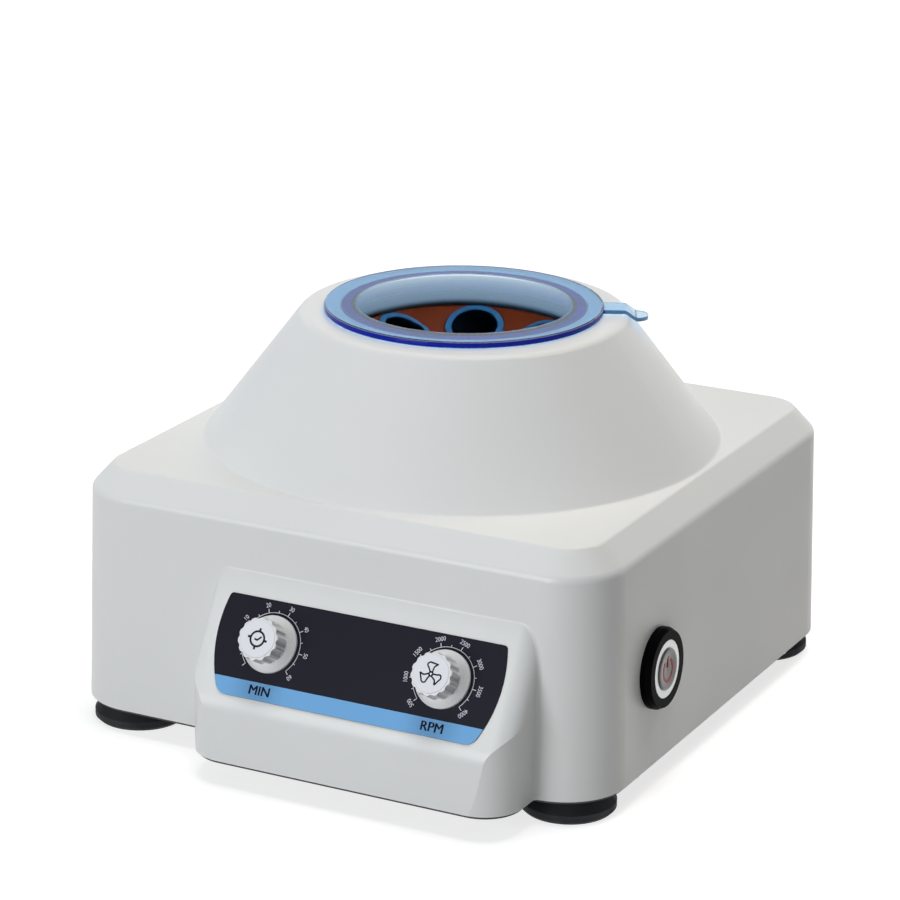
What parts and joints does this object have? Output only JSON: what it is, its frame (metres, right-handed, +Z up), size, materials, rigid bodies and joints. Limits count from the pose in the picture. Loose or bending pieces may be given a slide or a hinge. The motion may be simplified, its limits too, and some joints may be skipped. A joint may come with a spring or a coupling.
{
  "type": "low-speed bench centrifuge",
  "caption": "Square benchtop centrifuge with a conical crown, tinted see-through lid, angled tube rotor, two dials and a side power switch.",
  "frame": {"origin": "on the rotor's axis, on the plane that the feet stand on", "axes": "+Z up along the rotor's axis, -Y to the front where the control pod is, +X to the side of the power switch"},
  "size_m": [0.2747, 0.3029, 0.1939],
  "materials": {
    "housing_plastic": "moulded, light satin gloss",
    "sheet_steel": "black powder coat",
    "foot_rubber": "matt",
    "fastener_steel": "zinc plated",
    "lid_acrylic": "clear tinted, polished",
    "gasket_rubber": "soft, matt",
    "bowl_steel": "spun, satin",
    "seal_rubber": "matt",
    "rotor_metal": "brown coating",
    "sleeve_plastic": "moulded",
    "cushion_rubber": "matt",
    "shaft_steel": "ground",
    "motor_steel": "satin",
    "cast_alloy": "as cast",
    "lamination_steel": "oxidised",
    "copper": "turned",
    "fan_plastic": "moulded",
    "brush_insulator": "moulded",
    "carbon": "graphite",
    "label_film": "printed film",
    "knob_plastic": "moulded",
    "cap_film": "printed inlay",
    "nickel": "nickel plated",
    "control_plastic": "moulded",
    "switch_black": "moulded",
    "light_ring_plastic": "milky",
    "button_plastic": "moulded",
    "inlet_plastic": "moulded",
    "board_laminate": "glass laminate",
    "capacitor_sleeve": "shrink sleeve",
    "sink_alloy": "black anodised"
  },
  "bodies": {
    "housing": {"upper_housing": "housing_plastic", "base_plate": "sheet_steel", "rubber_feet": "foot_rubber", "foot_screws": "fastener_steel", "foot_nuts": "fastener_steel", "housing_screws": "fastener_steel", "chamber_bowl": "bowl_steel", "bowl_seal": "seal_rubber", "bowl_posts": "fastener_steel", "bowl_screws": "fastener_steel", "shaft_boot": "seal_rubber", "motor_plate": "motor_steel", "motor_dampers": "seal_rubber", "motor_bolts": "fastener_steel", "motor_lower_cap": "cast_alloy", "motor_can": "motor_steel", "motor_upper_cap": "cast_alloy", "lower_bearing": "shaft_steel", "upper_bearing": "shaft_steel", "field_stator": "lamination_steel", "brush_holders": "brush_insulator", "carbon_brushes": "carbon", "control_label": "label_film", "timer": "control_plastic", "speed_potentiometer": "control_plastic", "panel_nuts": "nickel", "switch_bezel": "switch_black", "switch_light_ring": "light_ring_plastic", "switch_nut": "switch_black", "switch_block": "control_plastic", "mains_inlet": "inlet_plastic", "inlet_pins": "nickel", "inlet_screws": "fastener_steel", "circuit_board": "board_laminate", "board_standoffs": "fastener_steel", "transformer": "lamination_steel", "capacitors": "capacitor_sleeve", "heat_sink": "sink_alloy"},
    "lid": {"lid": "lid_acrylic", "lid_gasket": "gasket_rubber"},
    "rotor": {"rotor_head": "rotor_metal", "rotor_nut": "nickel", "sleeve_cushions": "cushion_rubber", "motor_shaft": "shaft_steel", "armature": "lamination_steel", "commutator": "copper", "cooling_fan": "fan_plastic", "tube_sleeve_1": "sleeve_plastic", "tube_sleeve_2": "sleeve_plastic", "tube_sleeve_3": "sleeve_plastic", "tube_sleeve_4": "sleeve_plastic", "tube_sleeve_5": "sleeve_plastic", "tube_sleeve_6": "sleeve_plastic"},
    "time_dial": {"time_knob": "knob_plastic", "time_knob_cap": "cap_film", "time_shaft": "shaft_steel"},
    "speed_dial": {"speed_knob": "knob_plastic", "speed_knob_cap": "cap_film", "speed_shaft": "shaft_steel"},
    "button": {"power_button": "button_plastic"}
  },
  "joints": [
    {"name": "lid_lift", "type": "slide", "parent": "housing", "child": "lid", "axis": [0, 0, 1], "range_m": [0, 0.12]},
    {"name": "rotor_spin", "type": "hinge", "parent": "housing", "child": "rotor", "pos_m": [0, 0, 0.14], "axis": [0, 0, 1], "continuous": true},
    {"name": "time_turn", "type": "hinge", "parent": "housing", "child": "time_dial", "pos_m": [-0.018, -0.14815, 0.06501], "axis": [0, 0.866, -0.5], "range_deg": [0, 270]},
    {"name": "speed_turn", "type": "hinge", "parent": "housing", "child": "speed_dial", "pos_m": [0.0676, -0.14815, 0.06501], "axis": [0, 0.866, -0.5], "range_deg": [0, 270]},
    {"name": "power_press", "type": "slide", "parent": "housing", "child": "button", "axis": [-0.9997, 0, -0.0257], "range_m": [0, 0.0025], "stiffness_N_per_m": 400}
  ]
}
